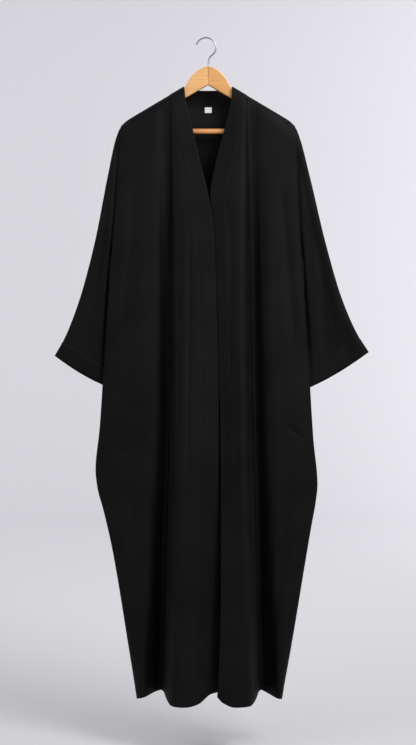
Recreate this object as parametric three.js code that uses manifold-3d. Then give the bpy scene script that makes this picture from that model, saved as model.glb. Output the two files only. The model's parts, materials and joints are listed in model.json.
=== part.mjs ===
// An open-front abaya on a wooden hanger, in millimetres, +Z up. The front looks along -Y.
// The origin is where the hook rests on its rail. Left and right are the wearer's.
import * as THREE from 'three';
import * as BufferGeometryUtils from 'three/addons/utils/BufferGeometryUtils.js';
import Module from 'manifold-3d';

// Cloth
const WALL = 2;
const BAND_WALL = 2.6;
const SEAM = 0.3;
const BAND_WIDTH = 36;
const SIDE_LAP = 6;
const SLEEVE_GAP = 0.9;

// Shoulders and neck, as distances out from the garment's middle
const SHOULDER = { out: 209, z: -208 };
const NECK = { out: 91, z: -138, backZ: -156, backDepth: 36 };
const COLLAR = { out: 57, z: -117, backZ: -120, backDepth: 34 };
const SHOULDER_ROUND = 36;
const NECK_HANG = 70;
const NECK_POWER = 4;
const NECK_CORNER_GAP = 4;
const UNDERARM_Z = -540;
const SIDE_SEAM_Y = -14;

// Hanger
const HANG_SHIFT = 4.8;
const ARM_THICK = 12;
const ARM_END = 198;
const ARM_BEVEL = 2.5;
const ARM_DROP = 0.9;
const BAR = { radius: 6.2, z: -223, seat: 9, out: 187 };
const HOOK = { wire: 1.9, bend: 23.8, tipAngle: 164, leaveAngle: -36, stemX: 6.2, stemTop: -50, stemEnd: -92 };

// Grids
const FRONT_COLUMNS = 21;
const SHOULDER_COLUMNS = 9;
const NECK_COLUMNS = 6;
const BAND_COLUMNS = 3;
const COLLAR_ROWS = 8;
const SLEEVE_SIDES = 22;
const SECTION_SAMPLES = 160;

// How far each row of the body lies below the shoulder seam, measured at the side edge
const ROW_DROPS = [0, 0.6, 2.5, 8, 18, 36, 70, 130, 200, 260, 305, 319, 325, 335, 352,
  410, 480, 560, 640, 720, 790, 840, 900, 980, 1080, 1180, 1280, 1373];
const FULL_DROP = ROW_DROPS[ROW_DROPS.length - 1];

// Fronts, back and band are each one length of cloth, made as two solids that meet on this row, just
// below the underarm. Each is then simple enough for its collision to keep the hollow open.
const SPLIT_ROW = ROW_DROPS.indexOf(352);

function table(columns, rows) {
  const names = columns.split(' ');
  return rows.map((row) => Object.fromEntries(names.map((name, i) => [name, row[i]])));
}

// A smooth line through one column of a table, with no overshoot between its rows
function line(rows, key, by = 'z') {
  const x = rows.map((row) => row[by]);
  const y = rows.map((row) => row[key]);
  const last = x.length - 1;
  const steps = y.slice(1).map((value, i) => (value - y[i]) / (x[i + 1] - x[i]));
  const slopes = y.map((_, i) => {
    if (i === 0) return steps[0];
    if (i === last) return steps[last - 1];
    const [before, after] = [steps[i - 1], steps[i]];
    return before * after <= 0 ? 0 : (2 * before * after) / (before + after);
  });
  const falling = x[last] < x[0];
  return (at) => {
    let i = 0;
    while (i < last - 1 && (falling ? at < x[i + 1] : at > x[i + 1])) i += 1;
    const span = x[i + 1] - x[i];
    const t = Math.min(1, Math.max(0, (at - x[i]) / span));
    const [t2, t3] = [t * t, t * t * t];
    return y[i] * (2 * t3 - 3 * t2 + 1) + slopes[i] * span * (t3 - 2 * t2 + t)
      + y[i + 1] * (3 * t2 - 2 * t3) + slopes[i + 1] * span * (t3 - t2);
  };
}

const mix = THREE.MathUtils.lerp;
const smooth = THREE.MathUtils.smoothstep;

// Depth of the front at each height: y of the inner face on its side panel, in the long valley, and on
// the column beside the opening. The two free edges have their own depths.
const DEPTH = table('z panel valley column', [
  [-140, -16, -14, -18],
  [-300, -18, -11, -27],
  [-500, -21, -5, -42],
  [-800, -24, 0, -58],
  [-1100, -27, 4, -76],
  [-1350, -30, 7, -94],
  [-1584, -33, 9, -108],
]);
const depthOf = {
  panel: line(DEPTH, 'panel'),
  valley: line(DEPTH, 'valley'),
  column: line(DEPTH, 'column'),
};

// The back: its own depth and how far its soft folds stand out
const BACK = table('z depth fold wing', [
  [-140, 24, 0, 14],
  [-300, 30, 2, 14],
  [-520, 36, 5, 14],
  [-560, 37, 6, 44],
  [-860, 44, 9, 50],
  [-1100, 50, 13, 44],
  [-1584, 60, 20, 26],
]);
const backOf = { depth: line(BACK, 'depth'), fold: line(BACK, 'fold'), wing: line(BACK, 'wing') };

// Each side: silhouette below the shoulder, the long valley, the free edge and the hem
const SIDES = {
  right: {
    sign: -1,
    edge: table('z out', [
      [-208, 209], [-409, 222], [-569, 235], [-747, 247], [-932, 259], [-1036, 269], [-1080, 264],
      [-1128, 251], [-1224, 229], [-1464, 189], [-1582, 170],
    ]),
    valley: table('z out outer steep', [
      [-140, 101, 22, 6], [-400, 98, 24, 7], [-868, 96, 28, 9], [-1228, 106, 32, 11], [-1584, 116, 34, 13],
    ]),
    free: table('z out y', [
      [-115, 57, -16], [-145, 54, -17], [-214, 38, -21], [-302, 18, -26], [-386, -2, -33],
      [-474, -14, -37], [-594, -19, -41], [-868, -25, -48], [-1060, -27, -47], [-1130, -34, -46],
      [-1350, -36, -50], [-1492, -32, -56], [-1584, -26, -60],
    ]),
    hem: table('out z', [[-30, -1556], [-6, -1560], [24, -1580], [52, -1585], [84, -1582], [104, -1564],
      [130, -1568], [170, -1581]]),
    sleeve: table('topOut topZ lowOut lowZ y half', [
      [200, -205.5, 224, -532, 6.6, 20],
      [210, -210.5, 229, -534, 6.6, 20],
      [223, -246, 231.5, -550, 7, 19],
      [243, -340, 232, -592, 8, 17],
      [271, -484, 230, -664, 10, 15],
      [308, -624, 228, -744, 11, 14],
      [342, -714, 228, -806, 11, 13],
      [368, -762, 228, -842, 11, 12],
    ]),
  },
  left: {
    sign: 1,
    edge: table('z out', [
      [-208, 209], [-409, 217], [-569, 228], [-778, 241], [-960, 252], [-1070, 262], [-1110, 258],
      [-1160, 249], [-1224, 238], [-1464, 198], [-1584, 176],
    ]),
    valley: table('z out outer steep', [
      [-140, 103, 20, 6], [-400, 106, 22, 7], [-868, 112, 28, 9], [-1228, 121, 34, 11], [-1584, 131, 34, 13],
    ]),
    free: table('z out y', [
      [-115, 58, -16], [-145, 56, -17], [-214, 41, -19], [-298, 19, -22], [-386, 5, -26], [-474, 8, -31],
      [-594, 13, -35], [-800, 20, -41], [-900, 29, -46], [-1060, 30.5, -56], [-1228, 31, -72],
      [-1350, 30, -82], [-1492, 26, -92], [-1584, 20, -97],
    ]),
    hem: table('out z', [[20, -1560], [36, -1576], [62, -1585], [96, -1582], [122, -1564], [146, -1571],
      [176, -1581]]),
    sleeve: table('topOut topZ lowOut lowZ y half', [
      [200, -205.5, 216.5, -532, 6.6, 20],
      [210, -210.5, 222, -534, 6.6, 20],
      [223, -246, 225, -550, 7, 19],
      [247, -340, 226, -594, 8, 17],
      [281, -484, 224, -668, 10, 15],
      [321, -622, 222, -750, 11, 14],
      [358, -708, 222, -812, 11, 13],
      [386, -753, 222, -848, 11, 12],
    ]),
  },
};

for (const side of Object.values(SIDES)) {
  side.edgeAt = line(side.edge, 'out');
  side.valleyAt = line(side.valley, 'out');
  side.outerAt = line(side.valley, 'outer');
  side.steepAt = line(side.valley, 'steep');
  side.freeAt = line(side.free, 'out');
  side.freeYAt = line(side.free, 'y');
  side.hemAt = line(side.hem, 'z', 'out');
}

// A clamped quadratic spline: it rounds the corners of its control points, and runs from first to last
function spline(controls, t) {
  const last = controls.length - 2;
  const at = Math.min(last - 1e-9, t * last);
  const i = Math.floor(at);
  const f = at - i;
  const middle = (a, b) => [(a[0] + b[0]) / 2, (a[1] + b[1]) / 2];
  const from = i === 0 ? controls[0] : middle(controls[i], controls[i + 1]);
  const to = i === last - 1 ? controls[last + 1] : middle(controls[i + 1], controls[i + 2]);
  const via = controls[i + 1];
  return [0, 1].map((k) => from[k] * (1 - f) ** 2 + 2 * via[k] * f * (1 - f) + to[k] * f * f);
}

// How far the cloth has come round the shoulder, 0 on the seam and 1 once it hangs
function shoulderRound(drop) {
  return (1 - (1 - Math.min(1, drop / SHOULDER_ROUND)) ** 3) ** (1 / 3);
}

// Fullness of a flattened tube across its width, 0 at its two folded edges and 1 between them
const TUBE_POWER = 3;
const UNDERARM_POWER = 8;
function fullness(s, power = TUBE_POWER) {
  return (1 - Math.abs(1 - 2 * s) ** power) ** (1 / power);
}

function tubeMiddle(y, s) {
  return y * smooth(s, 0, 0.3);
}

// The armhole's front and back edges lie just off the sleeve's first ring
function armholeY(side, z, back) {
  const ring = side.sleeve[0];
  const s = Math.min(1, Math.max(0, (ring.topZ - z) / (ring.topZ - ring.lowZ)));
  if (!back) return tubeMiddle(ring.y, s) - (ring.half + SLEEVE_GAP) * fullness(Math.min(s, 0.5));
  if (z <= UNDERARM_Z + 0.5) return SIDE_SEAM_Y + SEAM;
  const power = s < 0.5 ? TUBE_POWER : UNDERARM_POWER;
  return tubeMiddle(ring.y, s) + (ring.half + SLEEVE_GAP) * fullness(Math.min(s, 0.995), power);
}

function shoulderZ(out) {
  return NECK.z + (SHOULDER.z - NECK.z) * (out - NECK.out) / (SHOULDER.out - NECK.out);
}

// Control points of the front from its side edge to its free edge, as distance out and depth
function frontControls(side, z, drop) {
  const round = shoulderRound(drop);
  const edge = side.edgeAt(z);
  const valley = side.valleyAt(z);
  const free = side.freeAt(z);
  const lip = valley + side.outerAt(z);
  const floor = valley - 9;
  const wall = floor - side.steepAt(z);
  const panel = depthOf.panel(z) * round;
  const column = depthOf.column(z) * round;
  const deep = depthOf.valley(z) * round;
  const open = side.freeYAt(z) * round;
  const edgeY = armholeY(side, z, false);
  return [
    [edge, edgeY],
    [mix(edge, lip, 0.18), mix(edgeY, panel, 0.45)],
    [mix(edge, lip, 0.55), panel],
    [lip, panel],
    [valley + 9, deep],
    [floor, deep],
    [wall, column],
    [mix(wall, free, 0.4), column],
    [mix(wall, free, 0.75), mix(column, open, 0.7)],
    [free, open],
  ];
}

// Control points of half of the back, from its side edge to the middle
function backControls(side, z, drop) {
  const round = shoulderRound(drop);
  const edge = side.edgeAt(z) - SIDE_LAP;
  const wing = edge - backOf.wing(z);
  const depth = backOf.depth(z) * round;
  const fold = backOf.fold(z) * round;
  const edgeY = armholeY(side, z, true);
  const wingY = mix(SIDE_SEAM_Y + 4, depth, smooth(z, UNDERARM_Z - 100, UNDERARM_Z));
  return [
    [edge, edgeY],
    [wing, wingY],
    [mix(wing, 0, 0.22), depth],
    [mix(wing, 0, 0.4), depth + fold],
    [mix(wing, 0, 0.6), depth - fold],
    [mix(wing, 0, 0.82), depth + fold],
    [0, depth + fold],
  ];
}

// A point of the front: share 0 to 1 from side edge to free edge, on the row this far below the seam
function frontPoint(side, share, drop) {
  let z = mix(SHOULDER.z, -1570, drop / FULL_DROP);
  let at = [0, 0];
  for (let round = 0; round < 6; round += 1) {
    at = spline(frontControls(side, z, drop), share);
    z = mix(shoulderZ(at[0]), side.hemAt(at[0]), drop / FULL_DROP);
  }
  return new THREE.Vector3(at[0], at[1], z);
}

function neckDepth(out, top, middle) {
  return middle * Math.max(0, 1 - (out / top) ** NECK_POWER) ** (1 / NECK_POWER);
}

const BACK_HEM = { edge: -1581, middle: -1556 };
function backPoint(side, share, drop) {
  let z = mix(SHOULDER.z, -1570, drop / FULL_DROP);
  let at = [0, 0];
  for (let round = 0; round < 6; round += 1) {
    at = spline(backControls(side, z, drop), share);
    const scoop = Math.min(1, at[0] / NECK.out) ** 2;
    const top = at[0] > NECK.out ? shoulderZ(at[0]) : mix(NECK.backZ, NECK.z, scoop);
    const hem = mix(BACK_HEM.middle, BACK_HEM.edge, (at[0] / 180) ** 2);
    z = mix(top, hem, drop / FULL_DROP);
  }
  const neck = neckDepth(at[0], NECK.out, NECK.backDepth);
  const hung = mix(neck, backOf.depth(z), smooth(drop, 0, NECK_HANG));
  const onNeck = 1 - smooth(at[0], NECK.out - 38, NECK.out - 13);
  const rounded = at[1] + neck * (1 - shoulderRound(drop));
  return new THREE.Vector3(at[0], mix(rounded, hung, onNeck * (1 - smooth(drop, 20, NECK_HANG))), z);
}

// Places count points evenly along a row of closely spaced ones
function evenly(points, count) {
  const lengths = [0];
  for (let i = 1; i < points.length; i += 1) lengths.push(lengths[i - 1] + points[i].distanceTo(points[i - 1]));
  const total = lengths[lengths.length - 1];
  const result = [];
  let i = 0;
  for (let k = 0; k < count; k += 1) {
    const want = (total * k) / (count - 1);
    while (i < points.length - 2 && lengths[i + 1] < want) i += 1;
    const f = (want - lengths[i]) / (lengths[i + 1] - lengths[i]);
    result.push(points[i].clone().lerp(points[i + 1], Math.min(1, f)));
  }
  return result;
}

function cutAt(points, out) {
  const i = points.findIndex((point) => point.x <= out);
  const [before, after] = [points[i - 1], points[i]];
  const cut = before.clone().lerp(after, (before.x - out) / (before.x - after.x));
  return { outside: [...points.slice(0, i), cut], inside: [cut.clone(), ...points.slice(i)] };
}

function sampled(pointAt) {
  return Array.from({ length: SECTION_SAMPLES + 1 }, (_, i) => pointAt(i / SECTION_SAMPLES));
}

// The same grid moved out along its normals
function offset(grid, distance) {
  const rows = grid.length;
  const columns = grid[0].length;
  return grid.map((row, i) => row.map((point, j) => {
    const across = row[Math.min(columns - 1, j + 1)].clone().sub(row[Math.max(0, j - 1)]);
    const down = grid[Math.min(rows - 1, i + 1)][j].clone().sub(grid[Math.max(0, i - 1)][j]);
    return point.clone().addScaledVector(across.cross(down).normalize(), distance);
  }));
}

// One closed wall between two grids of the same size; a ring joins its last column to its first
function wall(inner, outer, ring = false) {
  const rows = inner.length;
  const columns = inner[0].length;
  const points = [...outer.flat(), ...inner.flat()];
  const start = rows * columns;
  const triangles = [];
  const quad = (a, b, c, d) => triangles.push(a, b, c, a, c, d);
  const at = (i, j) => i * columns + (j % columns);
  const spans = ring ? columns : columns - 1;
  for (let i = 0; i < rows - 1; i += 1) {
    for (let j = 0; j < spans; j += 1) {
      quad(at(i, j), at(i, j + 1), at(i + 1, j + 1), at(i + 1, j));
      quad(start + at(i, j), start + at(i + 1, j), start + at(i + 1, j + 1), start + at(i, j + 1));
    }
    if (!ring) {
      quad(at(i, 0), at(i + 1, 0), start + at(i + 1, 0), start + at(i, 0));
      const end = columns - 1;
      quad(at(i + 1, end), at(i, end), start + at(i, end), start + at(i + 1, end));
    }
  }
  for (let j = 0; j < spans; j += 1) {
    quad(at(0, j + 1), at(0, j), start + at(0, j), start + at(0, j + 1));
    const low = rows - 1;
    quad(at(low, j), at(low, j + 1), start + at(low, j + 1), start + at(low, j));
  }
  const geometry = new THREE.BufferGeometry();
  geometry.setAttribute('position', new THREE.Float32BufferAttribute(points.flatMap((p) => [p.x, p.y, p.z]), 3));
  geometry.setIndex(triangles);
  return geometry;
}

// Turns a shape inside out where its points were mirrored
function facingOut(geometry) {
  const { index, attributes: { position } } = geometry;
  const [a, b, c] = [new THREE.Vector3(), new THREE.Vector3(), new THREE.Vector3()];
  let volume = 0;
  for (let i = 0; i < index.count; i += 3) {
    a.fromBufferAttribute(position, index.getX(i));
    b.fromBufferAttribute(position, index.getX(i + 1));
    c.fromBufferAttribute(position, index.getX(i + 2));
    volume += a.dot(b.cross(c));
  }
  if (volume < 0) {
    for (let i = 0; i < index.count; i += 3) {
      const swap = index.getX(i);
      index.setX(i, index.getX(i + 1));
      index.setX(i + 1, swap);
    }
  }
  return geometry;
}

// The upper and the lower solid of a piece; rows above the shoulder seam, as on the collar, come first
function upperAndLower(inner, outer) {
  const at = inner.length - ROW_DROPS.length + SPLIT_ROW;
  const below = (grid) => grid.slice(at).map((row, i) => row.map((point) => (
    new THREE.Vector3(point.x, point.y, i === 0 ? point.z - SEAM : point.z))));
  return {
    upper: facingOut(wall(inner.slice(0, at + 1), outer.slice(0, at + 1))),
    lower: facingOut(wall(below(inner), below(outer))),
  };
}

const toSide = (side) => (point) => new THREE.Vector3(side.sign * point.x, point.y, point.z);

function frontRow(side, drop) {
  return cutAt(sampled((share) => frontPoint(side, share, drop)), side.freeAt(
    frontPoint(side, 1, drop).z) + BAND_WIDTH);
}

function frontPanel(side) {
  const grid = ROW_DROPS.map((drop) => {
    const row = evenly(frontRow(side, drop).outside, FRONT_COLUMNS);
    row[row.length - 1].x += SEAM / 2;
    if (drop === 0) row.forEach((point) => { point.y = -SEAM / 2; });
    return row.map(toSide(side));
  });
  return upperAndLower(grid, offset(grid, side.sign * WALL));
}

// The band runs from the middle of the back neck round to the shoulder, and down the front to the hem
function band(side) {
  const grid = [];
  for (let i = 0; i < COLLAR_ROWS; i += 1) {
    const angle = Math.max(1e-5, (i / COLLAR_ROWS) * Math.PI / 2);
    const [sin, cos] = [Math.sin(angle), Math.cos(angle)].map((value) => value ** (2 / NECK_POWER));
    const seam = new THREE.Vector3(NECK.out * sin, NECK.backDepth * cos, mix(NECK.backZ, NECK.z, sin * sin) + 0.5);
    const top = new THREE.Vector3(COLLAR.out * sin, COLLAR.backDepth * cos, mix(COLLAR.backZ, COLLAR.z, sin * sin));
    seam.lerp(top, NECK_CORNER_GAP * sin ** 4 / BAND_WIDTH);
    grid.push(Array.from({ length: BAND_COLUMNS }, (_, j) => seam.clone().lerp(top, j / (BAND_COLUMNS - 1))));
  }
  for (const drop of ROW_DROPS) {
    const row = evenly(frontRow(side, drop).inside, BAND_COLUMNS);
    row[0].x -= SEAM / 2;
    grid.push(row);
  }
  const placed = grid.map((row) => row.map(toSide(side)));
  return upperAndLower(placed, offset(placed, side.sign * BAND_WALL));
}

function backPanel() {
  const { right, left } = SIDES;
  const grid = ROW_DROPS.map((drop) => {
    const half = (side) => {
      const { outside, inside } = cutAt(sampled((share) => backPoint(side, share, drop)), NECK.out);
      return [...evenly(outside, SHOULDER_COLUMNS), ...evenly(inside, NECK_COLUMNS).slice(1)].map(toSide(side));
    };
    const row = [...half(right), ...half(left).reverse().slice(1)];
    if (drop === 0) row.forEach((point) => { point.y = Math.max(point.y, SEAM / 2); });
    return row;
  });
  return upperAndLower(grid, offset(grid, WALL));
}

// A sleeve is a flattened tube, open at the armhole and at the cuff
function sleeve(side) {
  const rows = side.sleeve;
  const keys = Object.keys(rows[0]);
  const numbered = rows.map((row, i) => ({ ...row, i }));
  const lines = Object.fromEntries(keys.map((key) => [key, line(numbered, key, 'i')]));
  const rings = [0, 0.5, 1, 1.5, 2, 2.5, 3, 3.5, 4, 5, 6, 7];
  const ring = (at, thinner) => {
    const value = Object.fromEntries(keys.map((key) => [key, lines[key](at)]));
    const top = new THREE.Vector2(value.topOut, value.topZ);
    const low = new THREE.Vector2(value.lowOut, value.lowZ);
    const middle = top.clone().add(low).multiplyScalar(0.5);
    const reach = top.clone().sub(low).multiplyScalar(0.5);
    const width = reach.length();
    return Array.from({ length: SLEEVE_SIDES }, (_, k) => {
      const angle = (k / SLEEVE_SIDES) * 2 * Math.PI;
      const power = (value) => Math.sign(value) * Math.abs(value) ** (2 / TUBE_POWER);
      const [along, deep] = [power(Math.cos(angle)), power(Math.sin(angle))];
      const place = middle.clone().addScaledVector(reach, along * (1 - thinner / width));
      const y = tubeMiddle(value.y, (1 - along) / 2) - deep * (value.half - thinner);
      return toSide(side)(new THREE.Vector3(place.x, y, place.y));
    });
  };
  return facingOut(wall(rings.map((at) => ring(at, WALL)), rings.map((at) => ring(at, 0)), true));
}

// A small plain patch that lies on the inside of the back, just under the neck seam
const LABEL = { left: -8, right: 9, top: -160, low: -174, thick: 0.8, off: 0.8 };
function neckLabel() {
  const patch = (towards) => [LABEL.top, LABEL.low].map((z) => [LABEL.left, LABEL.right].map((x) => {
    const drop = (NECK.backZ - z) * FULL_DROP / (NECK.backZ - BACK_HEM.middle);
    const depth = backPoint(SIDES.left, 1, drop).y;
    return new THREE.Vector3(x, depth - LABEL.off - towards, z);
  }));
  return facingOut(wall(patch(0), patch(LABEL.thick)));
}

const wasm = await Module();
wasm.setup();

function solid(geometry) {
  const bare = geometry.clone();
  for (const name of Object.keys(bare.attributes)) if (name !== 'position') bare.deleteAttribute(name);
  const merged = BufferGeometryUtils.mergeVertices(bare.index ? bare.toNonIndexed() : bare, 1e-4);
  return new wasm.Manifold(new wasm.Mesh({
    numProp: 3,
    vertProperties: new Float32Array(merged.attributes.position.array),
    triVerts: new Uint32Array(merged.index.array),
  }));
}

function fromSolid(shape) {
  const mesh = shape.getMesh();
  const geometry = new THREE.BufferGeometry();
  geometry.setAttribute('position', new THREE.BufferAttribute(new Float32Array(mesh.vertProperties), 3));
  geometry.setIndex(new THREE.BufferAttribute(new Uint32Array(mesh.triVerts), 1));
  return geometry;
}

function rod(radius, from, to, sides = 16) {
  const length = from.distanceTo(to);
  const turned = new THREE.CylinderGeometry(radius, radius, length, sides);
  const along = to.clone().sub(from).normalize();
  turned.applyQuaternion(new THREE.Quaternion().setFromUnitVectors(new THREE.Vector3(0, 1, 0), along));
  const middle = from.clone().add(to).multiplyScalar(0.5);
  return turned.translate(middle.x, middle.y, middle.z);
}

// One wooden arm: a raised shoulder at the hook, a sloping arm and a round end that carries the bar
function hangerArm(side) {
  const top = (out) => shoulderZ(out) - ARM_DROP;
  const shape = new THREE.Shape();
  const inner = SEAM / 2;
  shape.moveTo(inner, -67);
  shape.bezierCurveTo(22, -70, 36, -84, 46, -101);
  shape.quadraticCurveTo(50, -110, 56, top(56));
  shape.lineTo(ARM_END - 28, top(ARM_END - 28));
  shape.quadraticCurveTo(ARM_END - 4, top(ARM_END - 4) - 4, ARM_END, -218);
  shape.lineTo(ARM_END, BAR.z - 6);
  shape.quadraticCurveTo(ARM_END, BAR.z - 12, ARM_END - 8, BAR.z - 12);
  shape.lineTo(BAR.out - 8, BAR.z - 12);
  shape.quadraticCurveTo(BAR.out - 14, BAR.z - 10, BAR.out - 18, -215);
  shape.lineTo(54, -143);
  shape.quadraticCurveTo(24, -126, inner, -112);
  shape.closePath();
  const plate = new THREE.ExtrudeGeometry(shape, {
    depth: ARM_THICK - 2 * ARM_BEVEL,
    bevelEnabled: true,
    bevelThickness: ARM_BEVEL,
    bevelSize: ARM_BEVEL,
    bevelOffset: -ARM_BEVEL,
    bevelSegments: 2,
    curveSegments: 5,
  });
  plate.rotateX(Math.PI / 2).translate(0, ARM_THICK / 2 - ARM_BEVEL, 0);
  if (side.sign < 0) plate.rotateZ(Math.PI);
  return plate;
}

const CLOTH = { color: 0x17171a, roughness: 0.85, metalness: 0 };
const group = new THREE.Group();
const hung = new THREE.Group();
hung.position.x = HANG_SHIFT;
group.add(hung);

function add(parent, name, geometry, finish) {
  geometry.deleteAttribute('uv');
  geometry.computeVertexNormals();
  const mesh = new THREE.Mesh(geometry, new THREE.MeshStandardMaterial(finish));
  mesh.name = name;
  parent.add(mesh);
}

function addBoth(name, { upper, lower }) {
  add(hung, `${name}_upper`, upper, CLOTH);
  add(hung, `${name}_lower`, lower, CLOTH);
}

for (const [name, side] of Object.entries(SIDES)) {
  addBoth(`front_${name}`, frontPanel(side));
  add(hung, `sleeve_${name}`, sleeve(side), CLOTH);
  addBoth(`band_${name}`, band(side));
}
addBoth('back', backPanel());
add(hung, 'neck_label', neckLabel(), { color: 0xeeeae2, roughness: 0.7, metalness: 0 });

const armColours = { right: 0xe9b679, left: 0xe1a664 };
const stemHole = solid(rod(HOOK.wire + SEAM, new THREE.Vector3(HOOK.stemX - HANG_SHIFT, 0, HOOK.stemEnd - SEAM),
  new THREE.Vector3(HOOK.stemX - HANG_SHIFT, 0, -50), 12));
const barEnd = BAR.out - 8 + BAR.seat;
const barHole = solid(rod(BAR.radius + SEAM, new THREE.Vector3(-barEnd - SEAM, 0, BAR.z),
  new THREE.Vector3(barEnd + SEAM, 0, BAR.z), 20));
for (const [name, side] of Object.entries(SIDES)) {
  const arm = solid(hangerArm(side)).subtract(stemHole).subtract(barHole);
  add(hung, `hanger_arm_${name}`, fromSolid(arm), { color: armColours[name], roughness: 0.45, metalness: 0 });
}
add(hung, 'hanger_bar', rod(BAR.radius, new THREE.Vector3(-barEnd, 0, BAR.z), new THREE.Vector3(barEnd, 0, BAR.z), 16),
  { color: 0xeba56e, roughness: 0.45, metalness: 0 });

// The hook: a round bend that holds the rail, a short sweep back to the middle and a straight stem
function hook() {
  const centreZ = HOOK.wire - HOOK.bend;
  const points = [];
  const bends = 16;
  for (let i = 0; i <= bends; i += 1) {
    const angle = THREE.MathUtils.degToRad(mix(HOOK.tipAngle, HOOK.leaveAngle, i / bends));
    points.push(new THREE.Vector3(HOOK.bend * Math.cos(angle), 0, centreZ + HOOK.bend * Math.sin(angle)));
  }
  points.push(new THREE.Vector3(HOOK.stemX + 3, 0, HOOK.stemTop + 5));
  points.push(new THREE.Vector3(HOOK.stemX, 0, HOOK.stemTop - 6));
  points.push(new THREE.Vector3(HOOK.stemX, 0, (HOOK.stemTop + HOOK.stemEnd) / 2 - 4));
  points.push(new THREE.Vector3(HOOK.stemX, 0, HOOK.stemEnd));
  const section = new THREE.Shape();
  section.absarc(0, 0, HOOK.wire, 0, 2 * Math.PI);
  return new THREE.ExtrudeGeometry(section, {
    steps: 30,
    bevelEnabled: false,
    curveSegments: 4,
    extrudePath: new THREE.CatmullRomCurve3(points),
  });
}
add(group, 'hanger_hook', hook(), { color: 0xc8c8cc, roughness: 0.2, metalness: 1 });

export default group;
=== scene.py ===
"""An open-front black abaya on a wooden hanger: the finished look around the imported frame."""
import json
import math

import bpy
import numpy as np
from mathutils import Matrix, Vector

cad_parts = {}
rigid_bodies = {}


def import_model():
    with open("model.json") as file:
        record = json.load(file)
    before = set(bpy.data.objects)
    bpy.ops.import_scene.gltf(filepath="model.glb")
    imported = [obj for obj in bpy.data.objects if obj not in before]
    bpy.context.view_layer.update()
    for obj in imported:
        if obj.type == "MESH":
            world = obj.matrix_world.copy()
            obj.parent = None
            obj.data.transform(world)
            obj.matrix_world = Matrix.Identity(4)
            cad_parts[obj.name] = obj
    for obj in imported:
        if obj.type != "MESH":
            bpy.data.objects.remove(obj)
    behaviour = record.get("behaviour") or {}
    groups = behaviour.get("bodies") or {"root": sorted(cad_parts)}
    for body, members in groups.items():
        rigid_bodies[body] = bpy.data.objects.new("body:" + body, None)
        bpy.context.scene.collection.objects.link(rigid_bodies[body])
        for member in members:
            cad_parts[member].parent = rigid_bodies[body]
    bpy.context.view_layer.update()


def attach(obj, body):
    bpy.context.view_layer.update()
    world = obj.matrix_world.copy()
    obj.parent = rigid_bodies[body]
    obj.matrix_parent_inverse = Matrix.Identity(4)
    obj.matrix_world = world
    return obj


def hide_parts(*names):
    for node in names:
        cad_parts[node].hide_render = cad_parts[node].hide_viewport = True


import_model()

bl_info = {
    "name": "Open-front abaya",
    "version": (1, 0, 0),
    "blender": (4, 5, 0),
    "location": "3D View > Sidebar > Abaya",
    "description": "Cloth, hanger and studio of a hung open-front abaya",
    "category": "Add Mesh",
}

MM = 0.001

# Shoulders, neck and collar, in millimetres out from the garment's middle
SHOULDER_OUT, SHOULDER_Z = 209.0, -208.0
NECK_OUT, NECK_Z, NECK_BACK_Z, NECK_BACK_DEPTH = 91.0, -138.0, -156.0, 36.0
COLLAR_OUT, COLLAR_Z, COLLAR_BACK_Z, COLLAR_BACK_DEPTH = 57.0, -117.0, -120.0, 34.0
SHOULDER_ROUND = 36.0
NECK_HANG = 70.0
NECK_POWER = 4
UNDERARM_Z = -540.0
SIDE_SEAM_Y = -14.0
SIDE_LAP = 6.0
SLEEVE_GAP = 0.9
TUBE_POWER = 3
UNDERARM_POWER = 8
SEAM = 0.3
WALL = 2.0
BAND_WALL = 2.6
FULL_DROP = 1373.0
BACK_HEM_EDGE, BACK_HEM_MIDDLE = -1581.0, -1556.0
HANG_SHIFT = 4.8

# Grids: samples along a row before it is cut, and rows and columns of each piece
SAMPLES = 600
BACK_ROWS, BACK_COLUMNS = 250, 170
COLLAR_ROWS, BAND_COLUMNS = 48, 26
SLEEVE_SIDES, UPPER_RINGS, CUFF_RINGS = 160, 100, 50
LABEL_ROWS, LABEL_COLUMNS = 15, 18

# Sewing, in millimetres
BAND_OVER, BAND_THICK = 4.0, 2.3
CUFF_HEM, BODY_HEM = 40.0, 26.0
HEM_RISE, STITCH_GROOVE, EDGE_ROUND = 0.45, 0.7, 0.8
TIP_EASE, SIDE_ROLL, ARMHOLE_FLARE = 4.5, 1.9, 2.6
SHOULDER_TUCK, SHOULDER_SINK = 1.6, 0.6
CUFF_SAG_FRONT, CUFF_SAG_BACK = 1.5, 7.0
STITCH_PITCH, STITCH_LONG, THREAD_RADIUS = 3.4, 2.6, 0.22
EDGE_STITCH = 2.5
LABEL_LEFT, LABEL_RIGHT, LABEL_TOP, LABEL_LOW = -8.0, 9.0, -160.0, -174.0
LABEL_OFF, LABEL_THICK, LABEL_CURL = 0.7, 0.4, 0.5


def table(columns, rows):
    """Turns rows of numbers into named columns."""
    values = np.array(rows, dtype=float)
    return {name: values[:, i] for i, name in enumerate(columns.split())}


def line(rows, key, by="z"):
    """A smooth line through one column of a table: cubic pieces whose slopes never overshoot a row."""
    order = np.argsort(rows[by])
    x = rows[by][order]
    y = rows[key][order]
    steps = np.diff(y) / np.diff(x)
    slopes = np.empty_like(y)
    slopes[0], slopes[-1] = steps[0], steps[-1]
    product = steps[:-1] * steps[1:]
    total = steps[:-1] + steps[1:]
    inner = np.where(product > 0, 2 * product / np.where(total == 0, 1, total), 0)
    slopes[1:-1] = inner

    def value(at):
        at = np.clip(at, x[0], x[-1])
        i = np.clip(np.searchsorted(x, at, side="right") - 1, 0, len(x) - 2)
        span = x[i + 1] - x[i]
        t = (at - x[i]) / span
        return (y[i] * (2 * t**3 - 3 * t**2 + 1) + slopes[i] * span * (t**3 - 2 * t**2 + t)
                + y[i + 1] * (3 * t**2 - 2 * t**3) + slopes[i + 1] * span * (t**3 - t**2))

    return value


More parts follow.
